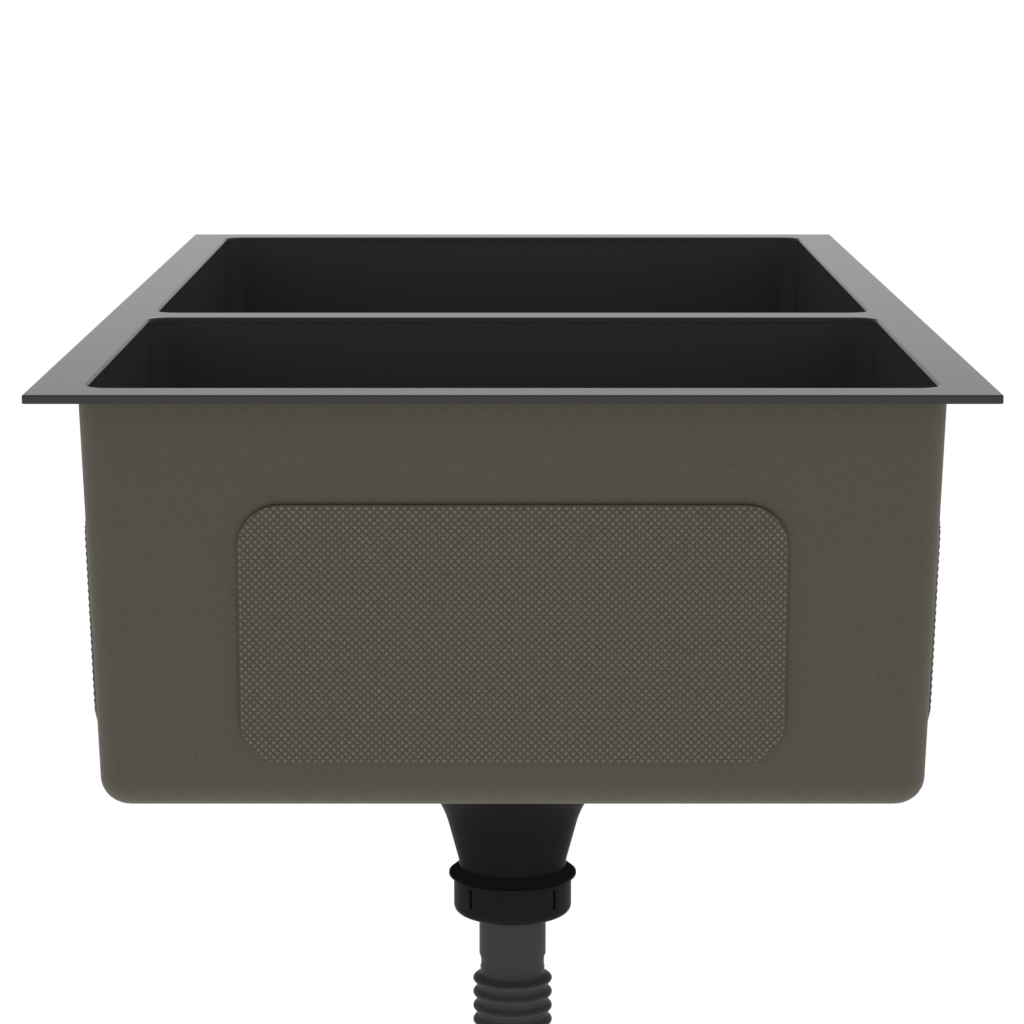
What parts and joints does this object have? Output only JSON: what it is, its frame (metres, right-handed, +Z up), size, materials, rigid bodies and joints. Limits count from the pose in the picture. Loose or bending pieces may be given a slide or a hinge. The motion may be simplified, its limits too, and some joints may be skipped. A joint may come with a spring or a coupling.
{
  "type": "double bowl kitchen sink",
  "caption": "Drop-in kitchen sink with a small and a large bowl under one thick rim, coated outside, with lift-out basket strainers and corrugated wastes into a branch tee.",
  "frame": {"origin": "middle of the divider between the bowls, on the underside of the deck, which is the top of the worktop that the rim rests on", "axes": "+X across the sink, +Y along it from the small bowl to the large bowl, +Z up"},
  "size_m": [0.44, 0.8, 0.5428],
  "materials": {
    "deck_steel": "satin black coating",
    "bowl_steel": "satin black coating",
    "undercoat": "sprayed grey-brown undercoat, fine stipple",
    "sound_pad": "woven diamond texture under the undercoat",
    "strainer_steel": "satin black coating",
    "screw_steel": "turned",
    "knob_steel": "satin black coating",
    "gasket_rubber": "matt",
    "waste_plastic": "moulded black",
    "nut_plastic": "moulded black",
    "hose_plastic": "moulded dark grey"
  },
  "bodies": {
    "root": {"deck_plate": "deck_steel", "branch_tee": "waste_plastic", "near_bowl": "bowl_steel", "near_bowl_coat": "undercoat", "near_end_pad": "sound_pad", "near_left_pad": "sound_pad", "near_right_pad": "sound_pad", "near_strainer_cup": "strainer_steel", "near_upper_gasket": "gasket_rubber", "near_lower_gasket": "gasket_rubber", "near_centre_screw": "screw_steel", "near_waste_body": "waste_plastic", "near_waste_ring": "gasket_rubber", "near_hose": "hose_plastic", "near_waste_nut": "nut_plastic", "near_waste_washer": "gasket_rubber", "near_tee_nut": "nut_plastic", "near_tee_washer": "gasket_rubber", "far_bowl": "bowl_steel", "far_bowl_coat": "undercoat", "far_end_pad": "sound_pad", "far_left_pad": "sound_pad", "far_right_pad": "sound_pad", "far_strainer_cup": "strainer_steel", "far_upper_gasket": "gasket_rubber", "far_lower_gasket": "gasket_rubber", "far_centre_screw": "screw_steel", "far_waste_body": "waste_plastic", "far_waste_ring": "gasket_rubber", "far_hose": "hose_plastic", "far_waste_nut": "nut_plastic", "far_waste_washer": "gasket_rubber", "far_tee_nut": "nut_plastic", "far_tee_washer": "gasket_rubber"},
    "near_basket": {"near_basket": "strainer_steel", "near_basket_knob": "knob_steel", "near_basket_seal": "gasket_rubber"},
    "far_basket": {"far_basket": "strainer_steel", "far_basket_knob": "knob_steel", "far_basket_seal": "gasket_rubber"}
  },
  "joints": [
    {"name": "near_basket_lift", "type": "slide", "parent": "root", "child": "near_basket", "axis": [0, 0, 1], "range_m": [0, 0.24]},
    {"name": "far_basket_lift", "type": "slide", "parent": "root", "child": "far_basket", "axis": [0, 0, 1], "range_m": [0, 0.24]}
  ]
}
